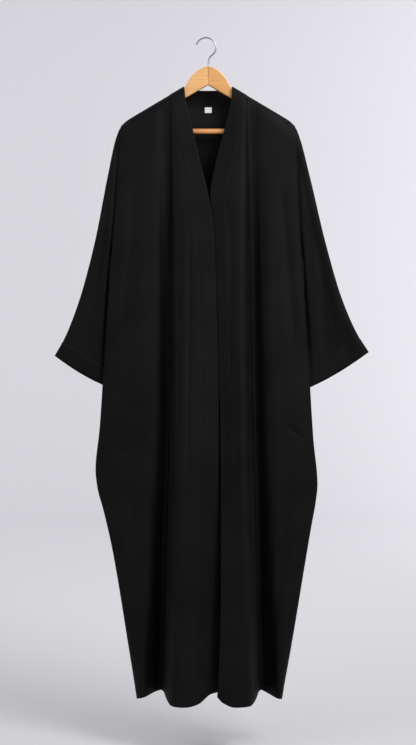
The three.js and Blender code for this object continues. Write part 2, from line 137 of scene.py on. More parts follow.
def mix(a, b, share):
    return a + (b - a) * share


def smooth(value, low, high):
    t = np.clip((value - low) / (high - low), 0, 1)
    return t * t * (3 - 2 * t)


# Depth of the front at each height, in the side panel, the long valley and the column by the opening
DEPTH = table("z panel valley column", [
    [-140, -16, -14, -18],
    [-300, -18, -11, -27],
    [-500, -21, -5, -42],
    [-800, -24, 0, -58],
    [-1100, -27, 4, -76],
    [-1350, -30, 7, -94],
    [-1584, -33, 9, -108],
])
PANEL_DEPTH, VALLEY_DEPTH, COLUMN_DEPTH = (line(DEPTH, key) for key in ("panel", "valley", "column"))

# Depth of the back, how far its folds stand out, and how far its thin side wing reaches in
BACK = table("z depth fold wing", [
    [-140, 24, 0, 14],
    [-300, 30, 2, 14],
    [-520, 36, 5, 14],
    [-560, 37, 6, 44],
    [-860, 44, 9, 50],
    [-1100, 50, 13, 44],
    [-1584, 60, 20, 26],
])
BACK_DEPTH, BACK_FOLD, BACK_WING = (line(BACK, key) for key in ("depth", "fold", "wing"))


class Side:
    """One side of the garment: its silhouette, long valley, free edge, hem and sleeve."""

    def __init__(self, sign, edge, valley, free, hem, sleeve):
        self.sign = sign
        self.edge = line(edge, "out")
        self.valley = line(valley, "out")
        self.outer = line(valley, "outer")
        self.steep = line(valley, "steep")
        self.free = line(free, "out")
        self.free_y = line(free, "y")
        self.hem = line(hem, "z", "out")
        self.sleeve = dict(sleeve, i=np.arange(len(sleeve["y"]), dtype=float))


SIDES = {
    "right": Side(
        -1,
        table("z out", [[-208, 209], [-409, 222], [-569, 235], [-747, 247], [-932, 259], [-1036, 269],
                        [-1080, 264], [-1128, 251], [-1224, 229], [-1464, 189], [-1582, 170]]),
        table("z out outer steep", [[-140, 101, 22, 6], [-400, 98, 24, 7], [-868, 96, 28, 9],
                                    [-1228, 106, 32, 11], [-1584, 116, 34, 13]]),
        table("z out y", [[-115, 57, -16], [-145, 54, -17], [-214, 38, -21], [-302, 18, -26],
                          [-386, -2, -33], [-474, -14, -37], [-594, -19, -41], [-868, -25, -48],
                          [-1060, -27, -47], [-1130, -34, -46], [-1350, -36, -50], [-1492, -32, -56],
                          [-1584, -26, -60]]),
        table("out z", [[-30, -1556], [-6, -1560], [24, -1580], [52, -1585], [84, -1582], [104, -1564],
                        [130, -1568], [170, -1581]]),
        table("topOut topZ lowOut lowZ y half", [
            [200, -205.5, 224, -532, 6.6, 20],
            [210, -210.5, 229, -534, 6.6, 20],
            [223, -246, 231.5, -550, 7, 19],
            [243, -340, 232, -592, 8, 17],
            [271, -484, 230, -664, 10, 15],
            [308, -624, 228, -744, 11, 14],
            [342, -714, 228, -806, 11, 13],
            [368, -762, 228, -842, 11, 12],
        ])),
    "left": Side(
        1,
        table("z out", [[-208, 209], [-409, 217], [-569, 228], [-778, 241], [-960, 252], [-1070, 262],
                        [-1110, 258], [-1160, 249], [-1224, 238], [-1464, 198], [-1584, 176]]),
        table("z out outer steep", [[-140, 103, 20, 6], [-400, 106, 22, 7], [-868, 112, 28, 9],
                                    [-1228, 121, 34, 11], [-1584, 131, 34, 13]]),
        table("z out y", [[-115, 58, -16], [-145, 56, -17], [-214, 41, -19], [-298, 19, -22],
                          [-386, 5, -26], [-474, 8, -31], [-594, 13, -35], [-800, 20, -41],
                          [-900, 29, -46], [-1060, 30.5, -56], [-1228, 31, -72], [-1350, 30, -82],
                          [-1492, 26, -92], [-1584, 20, -97]]),
        table("out z", [[20, -1560], [36, -1576], [62, -1585], [96, -1582], [122, -1564], [146, -1571],
                        [176, -1581]]),
        table("topOut topZ lowOut lowZ y half", [
            [200, -205.5, 216.5, -532, 6.6, 20],
            [210, -210.5, 222, -534, 6.6, 20],
            [223, -246, 225, -550, 7, 19],
            [247, -340, 226, -594, 8, 17],
            [281, -484, 224, -668, 10, 15],
            [321, -622, 222, -750, 11, 14],
            [358, -708, 222, -812, 11, 13],
            [386, -753, 222, -848, 11, 12],
        ])),
}


def spline(controls, share):
    """A clamped quadratic spline: middles of the control polygon joined by parabolas round its corners."""
    stack = np.stack([np.stack([np.broadcast_to(a, share.shape), np.broadcast_to(b, share.shape)])
                      for a, b in controls])
    last = len(controls) - 2
    at = np.minimum(share * last, last - 1e-9)
    i = np.floor(at).astype(int)
    f = at - i

    def pick(k):
        return np.take_along_axis(stack, k[None, None], axis=0)[0]

    via = pick(i + 1)
    start = np.where(i == 0, pick(i), (pick(i) + via) / 2)
    end = np.where(i == last - 1, pick(i + 2), (via + pick(i + 2)) / 2)
    return start * (1 - f) ** 2 + 2 * via * f * (1 - f) + end * f * f


def shoulder_round(drop):
    """How far the cloth has come round the shoulder: 0 on the seam, 1 once it hangs."""
    return (1 - (1 - np.clip(drop / SHOULDER_ROUND, 0, 1)) ** 3) ** (1 / 3)


def fullness(share, power=TUBE_POWER):
    """Half depth of a squared oval, 0 at its two ends (share 0 and 1) and 1 in between."""
    return (1 - np.abs(1 - 2 * share) ** power) ** (1 / power)


def tube_middle(y, share):
    """The sleeve's middle depth: 0 at its top line, and y from 0.3 of the way down."""
    return y * smooth(share, 0, 0.3)


def armhole_y(side, z, back):
    """Depth of the armhole's front or back edge, just off the sleeve's first ring."""
    ring = {key: values[0] for key, values in side.sleeve.items()}
    share = np.clip((ring["topZ"] - z) / (ring["topZ"] - ring["lowZ"]), 0, 1)
    half = ring["half"] + SLEEVE_GAP
    if not back:
        return tube_middle(ring["y"], share) - half * fullness(np.minimum(share, 0.5))
    upper = fullness(np.minimum(share, 0.5))
    lower = fullness(np.clip(share, 0.5, 0.995), UNDERARM_POWER)
    ringed = tube_middle(ring["y"], share) + half * np.where(share < 0.5, upper, lower)
    return np.where(z <= UNDERARM_Z + 0.5, SIDE_SEAM_Y + SEAM, ringed)


def shoulder_z(out):
    return NECK_Z + (SHOULDER_Z - NECK_Z) * (out - NECK_OUT) / (SHOULDER_OUT - NECK_OUT)


def front_controls(side, z, drop):
    """The corners (out, y) of a front's cross line at this height, from its side edge to its free edge."""
    turn = shoulder_round(drop)
    edge, valley, free = side.edge(z), side.valley(z), side.free(z)
    lip = valley + side.outer(z)
    floor = valley - 9
    wall = floor - side.steep(z)
    panel, column, deep = PANEL_DEPTH(z) * turn, COLUMN_DEPTH(z) * turn, VALLEY_DEPTH(z) * turn
    opening = side.free_y(z) * turn
    edge_y = armhole_y(side, z, False)
    return [
        (edge, edge_y),
        (mix(edge, lip, 0.18), mix(edge_y, panel, 0.45)),
        (mix(edge, lip, 0.55), panel),
        (lip, panel),
        (valley + 9, deep),
        (floor, deep),
        (wall, column),
        (mix(wall, free, 0.4), column),
        (mix(wall, free, 0.75), mix(column, opening, 0.7)),
        (free, opening),
    ]


def back_controls(side, z, drop):
    """The same for half of the back, from its side edge to the middle."""
    turn = shoulder_round(drop)
    edge = side.edge(z) - SIDE_LAP
    wing = edge - BACK_WING(z)
    depth, fold = BACK_DEPTH(z) * turn, BACK_FOLD(z) * turn
    edge_y = armhole_y(side, z, True)
    wing_y = mix(SIDE_SEAM_Y + 4, depth, smooth(z, UNDERARM_Z - 100, UNDERARM_Z))
    return [
        (edge, edge_y),
        (wing, wing_y),
        (wing * 0.78, depth),
        (wing * 0.6, depth + fold),
        (wing * 0.4, depth - fold),
        (wing * 0.18, depth + fold),
        (np.zeros_like(z), depth + fold),
    ]


def front_surface(side, share, drop):
    """The inner face of a front, from side edge (share 0) to free edge (1), this far below the shoulder."""
    z = mix(SHOULDER_Z, -1570, drop / FULL_DROP)
    for _ in range(8):
        out, y = spline(front_controls(side, z, drop), share)
        z = mix(shoulder_z(out), side.hem(out), drop / FULL_DROP)
    return np.stack([out, y, z], axis=-1)


def neck_depth(out):
    return NECK_BACK_DEPTH * np.maximum(0, 1 - (np.abs(out) / NECK_OUT) ** NECK_POWER) ** (1 / NECK_POWER)


def back_surface(side, share, drop):
    """The inner face of half of the back, from its side edge (share 0) to the middle (1)."""
    z = mix(SHOULDER_Z, -1570, drop / FULL_DROP)
    for _ in range(8):
        out, y = spline(back_controls(side, z, drop), share)
        neck_line = mix(NECK_BACK_Z, NECK_Z, np.minimum(1, out / NECK_OUT) ** 2)
        top = np.where(out > NECK_OUT, shoulder_z(out), neck_line)
        z = mix(top, mix(BACK_HEM_MIDDLE, BACK_HEM_EDGE, (out / 180) ** 2), drop / FULL_DROP)
    neck = neck_depth(out)
    hung = mix(neck, BACK_DEPTH(z), smooth(drop, 0, NECK_HANG))
    on_neck = (1 - smooth(out, NECK_OUT - 38, NECK_OUT - 13)) * (1 - smooth(drop, 20, NECK_HANG))
    rounded = y + neck * (1 - shoulder_round(drop))
    return np.stack([out, mix(rounded, hung, on_neck), z], axis=-1)


def grid_normals(grid):
    across = np.gradient(grid, axis=1)
    down = np.gradient(grid, axis=0)
    normals = np.cross(across, down)
    return normals / np.maximum(np.linalg.norm(normals, axis=2, keepdims=True), 1e-9)


def drops_of(rows):
    """Row drops: close together round the shoulder, then even to the hem."""
    near = np.array([0, 0.3, 0.8, 1.6, 2.8, 4.5, 7, 10, 14, 19, 25, 32])
    return np.concatenate([near, np.linspace(40, FULL_DROP, rows - len(near))])


def pushed_in(grid, folds):
    """How far each point goes in (mm) for folds that run down the cloth. A fold is (points, width, depth):
    its (x, z) points from top to bottom, its half width, and its depth, below 0 for a ridge. It fades out
    towards both ends and is a bell curve across."""
    x, z = grid[..., 0], grid[..., 2]
    depth_in = np.zeros_like(x)
    for points, width, depth in folds:
        line_x, line_z = np.array(points, dtype=float).T
        middle = np.interp(-z, -line_z, line_x)
        along = (line_z[0] - z) / (line_z[0] - line_z[-1])
        fade = smooth(along, -0.02, 0.3) * (1 - smooth(along, 0.7, 1.02))
        depth_in += depth * fade * np.exp(-((x - middle) / width) ** 2)
    return depth_in


def pinched_in(grid, pinches):
    """The same for short creases that lie at an angle: (x0, z0, x1, z1, width, depth)."""
    x, z = grid[..., 0], grid[..., 2]
    depth_in = np.zeros_like(x)
    for x0, z0, x1, z1, width, depth in pinches:
        length = math.hypot(x1 - x0, z1 - z0)
        along = ((x - x0) * (x1 - x0) + (z - z0) * (z1 - z0)) / length**2
        aside = ((x - x0) * (z1 - z0) - (z - z0) * (x1 - x0)) / length
        depth_in += depth * np.exp(-((along - 0.5) / 0.42) ** 4) * np.exp(-(aside / width) ** 2)
    return depth_in


def hem_relief(from_edge, height):
    """A turned-up hem: the doubled cloth stands proud, with a groove where the stitches pull it in."""
    doubled = HEM_RISE * (1 - smooth(from_edge, height - 1.5, height + 1.5))
    return doubled - STITCH_GROOVE * np.exp(-((from_edge - height) / 1.6) ** 2)


def rounded_edges(across, width):
    """How much lower a folded edge lies than the middle of a strip, at a distance across it."""
    return EDGE_ROUND * (np.exp(-(across / 1.1) ** 2) + np.exp(-((width - across) / 1.1) ** 2))


def lengths_across(grid):
    steps = np.linalg.norm(np.diff(grid, axis=1), axis=2)
    return np.concatenate([np.zeros((grid.shape[0], 1)), np.cumsum(steps, axis=1)], axis=1)


def lengths_down(grid):
    steps = np.linalg.norm(np.diff(grid, axis=0), axis=2)
    return np.concatenate([np.zeros((1, grid.shape[1])), np.cumsum(steps, axis=0)])


def shell(name, outer, inner, material, ring=False):
    """A closed shell between two grids of the same size, with its own lengths as UV map."""
    rows, columns = outer.shape[:2]
    spans = columns if ring else columns - 1
    i, j = np.meshgrid(np.arange(rows - 1), np.arange(spans), indexing="ij")
    a = i * columns + j
    b = i * columns + (j + 1) % columns
    c, d = b + columns, a + columns
    face = np.stack([a, b, c, d], axis=-1).reshape(-1, 4)
    start = rows * columns
    faces = [face, face[:, ::-1] + start]
    k = np.arange(spans)
    k2 = (k + 1) % columns
    low = (rows - 1) * columns
    faces.append(np.stack([k2, k, start + k, start + k2], axis=-1))
    faces.append(np.stack([low + k, low + k2, start + low + k2, start + low + k], axis=-1))
    if not ring:
        r = np.arange(rows - 1) * columns
        faces.append(np.stack([r, r + columns, start + r + columns, start + r], axis=-1))
        e = r + columns - 1
        faces.append(np.stack([e + columns, e, start + e, start + e + columns], axis=-1))
    faces = np.concatenate(faces)
    points = np.concatenate([outer.reshape(-1, 3), inner.reshape(-1, 3)]) * MM
    tris = points[faces]
    volume = np.einsum("ij,ij->i", tris[:, 0], np.cross(tris[:, 1], tris[:, 2])).sum()
    volume += np.einsum("ij,ij->i", tris[:, 0], np.cross(tris[:, 2], tris[:, 3])).sum()
    if volume < 0:
        faces = faces[:, ::-1]
    mesh = bpy.data.meshes.new(name)
    mesh.vertices.add(len(points))
    mesh.vertices.foreach_set("co", points.ravel())
    mesh.loops.add(faces.size)
    mesh.loops.foreach_set("vertex_index", faces.ravel())
    mesh.polygons.add(len(faces))
    mesh.polygons.foreach_set("loop_start", np.arange(0, faces.size, 4))
    mesh.polygons.foreach_set("use_smooth", np.arange(len(faces)) < 2 * len(face))
    uv = np.stack([lengths_across(outer), lengths_down(outer)], axis=-1).reshape(-1, 2) * MM
    uv = np.concatenate([uv, uv])
    mesh.uv_layers.new(name="cloth").data.foreach_set("uv", uv[faces.ravel()].ravel())
    mesh.update()
    mesh.validate()
    piece = bpy.data.objects.new(name, mesh)
    bpy.context.scene.collection.objects.link(piece)
    mesh.materials.append(material)
    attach(piece, "root")
    return piece


def to_side(grid, side):
    """Puts a piece on its side of the garment, with the shoulder tip eased down where the sleeve falls."""
    placed = grid.copy()
    near_tip = np.exp(-((grid[..., 0] - SHOULDER_OUT) / 10) ** 2) * smooth(grid[..., 2], -262, -214)
    placed[..., 2] -= TIP_EASE * near_tip
    placed[..., 0] = side.sign * grid[..., 0] + HANG_SHIFT
    return placed


def outward(placed, sign, distance, thick, meets_its_mirror=False):
    """The outer and inner faces of a piece whose inner reference is the placed grid."""
    normals = grid_normals(placed) * sign
    if meets_its_mirror:
        normals[0, :, 0] = 0
        normals[0] /= np.linalg.norm(normals[0], axis=1, keepdims=True)
    outer = placed + normals * np.broadcast_to(distance, placed.shape[:2])[..., None]
    return outer, outer - normals * thick


def stitches(name, path, normals):
    """One row of stitches: each is a thin spindle of thread along the path, resting on the cloth."""
    steps = np.linalg.norm(np.diff(path, axis=0), axis=1)
    lengths = np.concatenate([[0], np.cumsum(steps)])
    count = int(lengths[-1] / STITCH_PITCH)
    starts = (np.arange(count) + 0.15) * STITCH_PITCH

    def at(values, where):
        return np.stack([np.interp(where, lengths, values[:, k]) for k in range(3)], axis=-1)

    head, tail = at(path, starts), at(path, starts + STITCH_LONG)
    up = at(normals, starts)
    up /= np.linalg.norm(up, axis=1, keepdims=True)
    aside = np.cross(tail - head, up)
    aside /= np.linalg.norm(aside, axis=1, keepdims=True)
    share = np.array([0.0, 0.15, 0.5, 0.85, 1.0])
    fat = THREAD_RADIUS * np.array([0.25, 0.85, 1.0, 0.85, 0.25])
    turn = np.arange(6) / 6 * 2 * math.pi
    ring = np.cos(turn)[:, None, None] * aside + np.sin(turn)[:, None, None] * up
    middle = head + (tail - head) * share[:, None, None] + up * THREAD_RADIUS * 0.5
    points = middle[:, None] + ring[None] * fat[:, None, None, None]
    points = points.transpose(2, 0, 1, 3).reshape(-1, 3) * MM
    i, j = np.meshgrid(np.arange(4), np.arange(6), indexing="ij")
    a, b = i * 6 + j, i * 6 + (j + 1) % 6
    one = np.stack([a, b, b + 6, a + 6], axis=-1).reshape(-1, 4)
    caps = np.array([[0, 5, 4, 3], [0, 3, 2, 1], [24, 25, 26, 27], [24, 27, 28, 29]])
    one = np.concatenate([one, caps])
    faces = (one[None] + np.arange(count)[:, None, None] * 30).reshape(-1, 4)
    mesh = bpy.data.meshes.new(name)
    mesh.from_pydata(points.tolist(), [], faces.tolist())
    mesh.polygons.foreach_set("use_smooth", np.ones(len(faces), dtype=bool))
    mesh.update()
    mesh.materials.append(thread())
    piece = bpy.data.objects.new(name, mesh)
    bpy.context.scene.collection.objects.link(piece)
    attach(piece, "root")
    return piece


# sRGB hex to linear
def colour(code):
    channels = [int(code[i:i + 2], 16) / 255 for i in (0, 2, 4)]
    return tuple(c / 12.92 if c <= 0.04045 else ((c + 0.055) / 1.055) ** 2.4 for c in channels) + (1.0,)


def node(tree, kind, settings=None, links=None, **inputs):
    """Adds a node, sets its properties and inputs, and links sockets into it."""
    made = tree.nodes.new(kind)
    for key, value in (settings or {}).items():
        setattr(made, key, value)
    for key, value in inputs.items():
        made.inputs[key.replace("_", " ")].default_value = value
    for key, source in (links or {}).items():
        tree.links.new(source, made.inputs[key])
    return made


def new_material(name):
    material = bpy.data.materials.new(name)
    material.use_nodes = True
    return material, material.node_tree, material.node_tree.nodes["Principled BSDF"]


def crepe_material(name, code, light_code):
    """Polyester crepe, woven from overtwisted yarn: black, matt, with a fine pebbled grain."""
    material, tree, shader = new_material(name)
    place = node(tree, "ShaderNodeTexCoord")
    # Yarn pebbles are about 0.5 mm across; drawn at about 1.5 mm so that they still show
    grain = node(tree, "ShaderNodeTexNoise", links={"Vector": place.outputs["UV"]},
                 Scale=650.0, Detail=2.0, Roughness=0.6)
    patches = node(tree, "ShaderNodeTexNoise", links={"Vector": place.outputs["Object"]},
                   Scale=9.0, Detail=3.0)
    ramp = node(tree, "ShaderNodeValToRGB", links={"Fac": patches.outputs["Fac"]})
    ramp.color_ramp.elements[0].position = 0.35
    ramp.color_ramp.elements[0].color = colour(code)
    ramp.color_ramp.elements[1].position = 0.7
    ramp.color_ramp.elements[1].color = colour(light_code)
    bump = node(tree, "ShaderNodeBump", links={"Height": grain.outputs["Fac"]},
                Strength=0.25, Distance=0.0004)
    tree.links.new(ramp.outputs["Color"], shader.inputs["Base Color"])
    tree.links.new(bump.outputs["Normal"], shader.inputs["Normal"])
    shader.inputs["Roughness"].default_value = 0.6
    shader.inputs["Specular IOR Level"].default_value = 0.1
    shader.inputs["Sheen Weight"].default_value = 0.012
    shader.inputs["Sheen Roughness"].default_value = 0.4
    return material


def thread_material():
    """Spun polyester thread, two strands twisted: black, a little glossier than the crepe."""
    material, tree, shader = new_material("spun_black_thread")
    place = node(tree, "ShaderNodeTexCoord")
    twist = node(tree, "ShaderNodeTexWave", {"bands_direction": "DIAGONAL"},
                 {"Vector": place.outputs["Object"]}, Scale=900.0)
    bump = node(tree, "ShaderNodeBump", links={"Height": twist.outputs["Fac"]},
                Strength=0.4, Distance=0.0001)
    tree.links.new(bump.outputs["Normal"], shader.inputs["Normal"])
    shader.inputs["Base Color"].default_value = colour("0C0C0E")
    shader.inputs["Roughness"].default_value = 0.5
    shader.inputs["Specular IOR Level"].default_value = 0.2
    return material


def wood_material(name, code, dark_code, turn):
    """Lacquered beech, sawn along the arm: warm pale wood with fine darker grain and a soft gloss."""
    material, tree, shader = new_material(name)
    place = node(tree, "ShaderNodeTexCoord")
    mapping = node(tree, "ShaderNodeMapping", links={"Vector": place.outputs["Object"]},
                   Rotation=(0.0, turn, 0.0), Scale=(9.0, 60.0, 160.0))
    grain = node(tree, "ShaderNodeTexNoise", links={"Vector": mapping.outputs["Vector"]},
                 Scale=1.6, Detail=5.0, Roughness=0.6)
    ramp = node(tree, "ShaderNodeValToRGB", links={"Fac": grain.outputs["Fac"]})
    ramp.color_ramp.elements[0].position = 0.36
    ramp.color_ramp.elements[0].color = colour(dark_code)
    ramp.color_ramp.elements[1].position = 0.62
    ramp.color_ramp.elements[1].color = colour(code)
    bump = node(tree, "ShaderNodeBump", links={"Height": grain.outputs["Fac"]},
                Strength=0.1, Distance=0.0003)
    tree.links.new(ramp.outputs["Color"], shader.inputs["Base Color"])
    tree.links.new(bump.outputs["Normal"], shader.inputs["Normal"])
    shader.inputs["Roughness"].default_value = 0.42
    shader.inputs["Coat Weight"].default_value = 0.25
    shader.inputs["Coat Roughness"].default_value = 0.2
    return material


def chrome_material():
    """Chrome-plated steel wire, drawn and polished: bright with fine lengthwise draw marks."""
    material, tree, shader = new_material("chrome_plated_wire")
    place = node(tree, "ShaderNodeTexCoord")
    marks = node(tree, "ShaderNodeTexNoise", links={"Vector": place.outputs["Object"]},
                 Scale=900.0, Detail=1.0)
    bump = node(tree, "ShaderNodeBump", links={"Height": marks.outputs["Fac"]},
                Strength=0.05, Distance=0.0001)
    tree.links.new(bump.outputs["Normal"], shader.inputs["Normal"])
    shader.inputs["Base Color"].default_value = colour("909096")
    shader.inputs["Metallic"].default_value = 1.0
    shader.inputs["Roughness"].default_value = 0.38
    return material


def tape_material():
    """Woven polyester tape: off-white, with fine ribs across it."""
    material, tree, shader = new_material("woven_label_tape")
    place = node(tree, "ShaderNodeTexCoord")
    ribs = node(tree, "ShaderNodeTexWave", {"bands_direction": "Z"},
                {"Vector": place.outputs["Object"]}, Scale=500.0, Distortion=0.5)
    bump = node(tree, "ShaderNodeBump", links={"Height": ribs.outputs["Fac"]},
                Strength=0.3, Distance=0.0002)
    tree.links.new(bump.outputs["Normal"], shader.inputs["Normal"])
    shader.inputs["Base Color"].default_value = colour("EFECE4")
    shader.inputs["Roughness"].default_value = 0.6
    return material


class AbayaCloth(bpy.types.PropertyGroup):
    thickness: bpy.props.FloatProperty(
        name="Cloth thickness", description="Thickness of the single crepe",
        default=1.2 * MM, unit="LENGTH")
    band_width: bpy.props.FloatProperty(
        name="Band width", description="Width of the neck and front band",
        default=36 * MM, unit="LENGTH")
    front_rows: bpy.props.IntProperty(
        name="Front rows", description="Rows from shoulder to hem", default=300)
    front_columns: bpy.props.IntProperty(
        name="Front columns", description="Columns across a front", default=120)


def cloth_settings():
    return bpy.context.scene.abaya_cloth


def crepe():
    return bpy.data.materials.get("black_crepe") or crepe_material("black_crepe", "070708", "0E0E0F")


def thread():
    return bpy.data.materials.get("spun_black_thread") or thread_material()


def down(*points):
    """Points (x, z) of a fold, from its top to its foot."""
    return points


FRONT_FOLDS = {
    "right": [
        (down((-170, -300), (-175, -480), (-194, -628), (-206, -790)), 13, 3.6),
        (down((-150, -360), (-153, -700), (-158, -1000)), 14, -1.8),
        (down((-62, -330), (-63, -700), (-66, -1120)), 5, 2.8),
        (down((-40, -420), (-40, -700), (-44, -1120)), 4, 2.2),
        (down((-76, -380), (-79, -900), (-84, -1350)), 5, -1.8),
        (down((-190, -980), (-172, -1220), (-150, -1480)), 12, 2.6),
        (down((-140, -1100), (-128, -1350), (-118, -1560)), 9, -1.6),
    ],
    "left": [
        (down((180, -300), (185, -430), (202, -628), (213, -790)), 13, 3.6),
        (down((150, -360), (154, -700), (160, -1000)), 14, -1.8),
        (down((58, -380), (60, -600), (56, -900)), 7, 3.0),
        (down((82, -420), (80, -900), (84, -1300)), 6, -1.4),
        (down((70, -700), (74, -1100), (76, -1450)), 6, 1.8),
        (down((196, -980), (182, -1220), (162, -1480)), 12, 2.6),
        (down((150, -1100), (142, -1350), (136, -1560)), 9, -1.6),
    ],
}
FRONT_PINCHES = {
    "right": [(-218, -998, -160, -972, 4, 2.0), (-236, -900, -190, -860, 7, 1.6)],
    "left": [(232, -960, 186, -925, 6, 1.6)],
}
BAND_FOLDS = {
    "right": [(down((-19, -480), (-19, -740), (-22, -1060)), 4, 1.5)],
    "left": [(down((34, -640), (44, -900), (50, -1200)), 7, 1.2)],
}
SLEEVE_FOLDS = {
    "right": [
        (down((-228, -300), (-252, -520), (-286, -780)), 11, 2.8),
        (down((-216, -260), (-236, -470), (-262, -700)), 10, -2.0),
    ],
    "left": [
        (down((262, -440), (280, -600), (288, -790)), 12, 3.2),
        (down((228, -250), (262, -460), (270, -640)), 12, -2.6),
        (down((300, -560), (316, -680), (330, -790)), 8, -1.6),
    ],
}
# Where the sleeve sinks behind the body's edge
ARMHOLE_CREASE = {
    "right": (down((-208, -205), (-214, -340), (-224, -484), (-234, -628), (-248, -840)), 6, 5.0),
    "left": (down((218, -205), (220, -340), (227, -484), (236, -628), (253, -840)), 6, 5.0),
}
BACK_FOLDS = [
    (down((-150, -260), (-158, -700), (-140, -1200)), 16, 3.6),
    (down((-92, -300), (-96, -800), (-90, -1500)), 11, -2.4),
    (down((-30, -280), (-34, -900), (-30, -1540)), 12, 2.6),
    (down((26, -300), (32, -900), (38, -1540)), 10, -2.2),
    (down((90, -280), (98, -800), (100, -1500)), 12, 3.0),
    (down((160, -260), (168, -700), (150, -1200)), 16, 3.2),
]


def front_rows_of(side):
    """Fine rows of a front, and for each the distance out at which the band begins."""
    settings = cloth_settings()
    drops = drops_of(settings.front_rows)
    share, drop = np.meshgrid(np.linspace(0, 1, SAMPLES), drops)
    rows = front_surface(side, share, drop)
    seam_out = side.free(rows[:, -1, 2]) + settings.band_width / MM
    return rows, seam_out


def make_front(name):
    """A front: rows from side edge to band, each a smooth line through panel, valley and column, moved out
    along its normals by the wall less its folds, with a raised hem and its shoulder edge tucked under the
    back's."""
    side = SIDES[name]
    rows, seam_out = front_rows_of(side)
    columns = cloth_settings().front_columns
    grid = cut_rows(rows, None, seam_out - BAND_OVER, np.linspace(0, 1, columns))
    grid[0, :, 1] = SHOULDER_TUCK
    placed = to_side(grid, side)
    length = lengths_down(placed)
    from_hem = length[-1] - length
    distance = WALL - pushed_in(placed, FRONT_FOLDS[name]) - pinched_in(placed, FRONT_PINCHES[name])
    rolled = lengths_across(placed)
    distance = distance + hem_relief(from_hem, BODY_HEM) - SIDE_ROLL * np.exp(-(rolled / 4) ** 2)
    distance[0] -= SHOULDER_SINK
    outer, inner = outward(placed, side.sign, distance, cloth_settings().thickness / MM)
    piece = shell(f"crepe_front_{name}", outer, inner, crepe())
    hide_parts(f"front_{name}_upper", f"front_{name}_lower")
    row = int(np.argmin(np.abs(from_hem[:, columns // 2] - BODY_HEM)))
    sewn = stitches(f"hem_stitches_front_{name}", outer[row], (outer - inner)[row])
    return piece, [sewn]


def cut_rows(rows, start_out, stop_out, shares):
    """Points of each row between two distances out, placed by their share of the length between them."""
    lengths = lengths_across(rows)
    grid = np.empty((len(rows), len(shares), 3))
    for i, row in enumerate(rows):
        start = 0 if start_out is None else np.interp(-start_out[i], -row[:, 0], lengths[i])
        stop = lengths[i, -1] if stop_out is None else np.interp(-stop_out[i], -row[:, 0], lengths[i])
        want = start + (stop - start) * shares
        for k in range(3):
            grid[i, :, k] = np.interp(want, lengths[i], row[:, k])
    return grid


def make_band(name):
    """The band: from the middle of the back neck to the shoulder, then down the front edge to the hem.
    It is folded round the cut edges of the front and the back, so it starts a little outside the seam."""
    side = SIDES[name]
    rows, seam_out = front_rows_of(side)
    shares = 0.5 - 0.5 * np.cos(np.linspace(0, math.pi, BAND_COLUMNS))
    grid = cut_rows(rows, seam_out, None, shares)
    along = np.linspace(0, 1, COLLAR_ROWS + 1)[:-1]
    angle = along**2 / (along**2 + (1 - along) ** 2) * math.pi / 2
    sin, cos = np.sin(angle)[:, None] ** (2 / NECK_POWER), np.cos(angle)[:, None] ** (2 / NECK_POWER)
    seam = np.stack([NECK_OUT * sin, NECK_BACK_DEPTH * cos, mix(NECK_BACK_Z, NECK_Z, sin * sin)], axis=-1)
    top_z = mix(COLLAR_BACK_Z, COLLAR_Z, sin * sin)
    top = np.stack([COLLAR_OUT * sin, COLLAR_BACK_DEPTH * cos, top_z], axis=-1)
    width = cloth_settings().band_width / MM
    seam = mix(seam, top, -BAND_OVER / width)
    collar = mix(seam, top, shares[None, :, None])
    collar[0, :, 0] = 0
    grid = np.concatenate([collar, grid])
    placed = to_side(grid, side)
    across = lengths_across(placed)
    distance = BAND_WALL - rounded_edges(across, across[:, -1:]) - pushed_in(placed, BAND_FOLDS[name])
    outer, inner = outward(placed, side.sign, distance, BAND_THICK, meets_its_mirror=True)
    piece = shell(f"crepe_band_{name}", outer, inner, crepe())
    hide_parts(f"band_{name}_upper", f"band_{name}_lower")
    column = int(np.argmin(np.abs(across[2 * COLLAR_ROWS] - EDGE_STITCH)))
    sewn = stitches(f"edge_stitches_band_{name}", outer[2:, column], (outer - inner)[2:, column])
    return piece, [sewn]


def make_back():
    """The back: both halves' rows joined at the middle, moved out along their normals by the wall less the
    folds, with a raised hem and with both side edges turned in."""
    drops = drops_of(BACK_ROWS)
    halves = []
    for name in ("right", "left"):
        share, drop = np.meshgrid(np.linspace(0, 1, SAMPLES), drops)
        halves.append(to_side(back_surface(SIDES[name], share, drop), SIDES[name]))
    rows = np.concatenate([halves[0], halves[1][:, ::-1][:, 1:]], axis=1)
    grid = cut_rows(rows, None, None, np.linspace(0, 1, BACK_COLUMNS))
    grid[0, :, 1] = np.maximum(grid[0, :, 1], -SEAM)
    length = lengths_down(grid)
    from_hem = length[-1] - length
    rolled = lengths_across(grid)
    rolled = np.minimum(rolled, rolled[:, -1:] - rolled)
    distance = WALL - pushed_in(grid, BACK_FOLDS) + hem_relief(from_hem, BODY_HEM)
    distance = distance - SIDE_ROLL * np.exp(-(rolled / 4) ** 2)
    outer, inner = outward(grid, 1.0, distance, cloth_settings().thickness / MM)
    piece = shell("crepe_back", outer, inner, crepe())
    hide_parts("back_upper", "back_lower")
    row = int(np.argmin(np.abs(from_hem[:, BACK_COLUMNS // 2] - BODY_HEM)))
    sewn = stitches("hem_stitches_back", outer[row], (outer - inner)[row])
    return piece, [sewn]


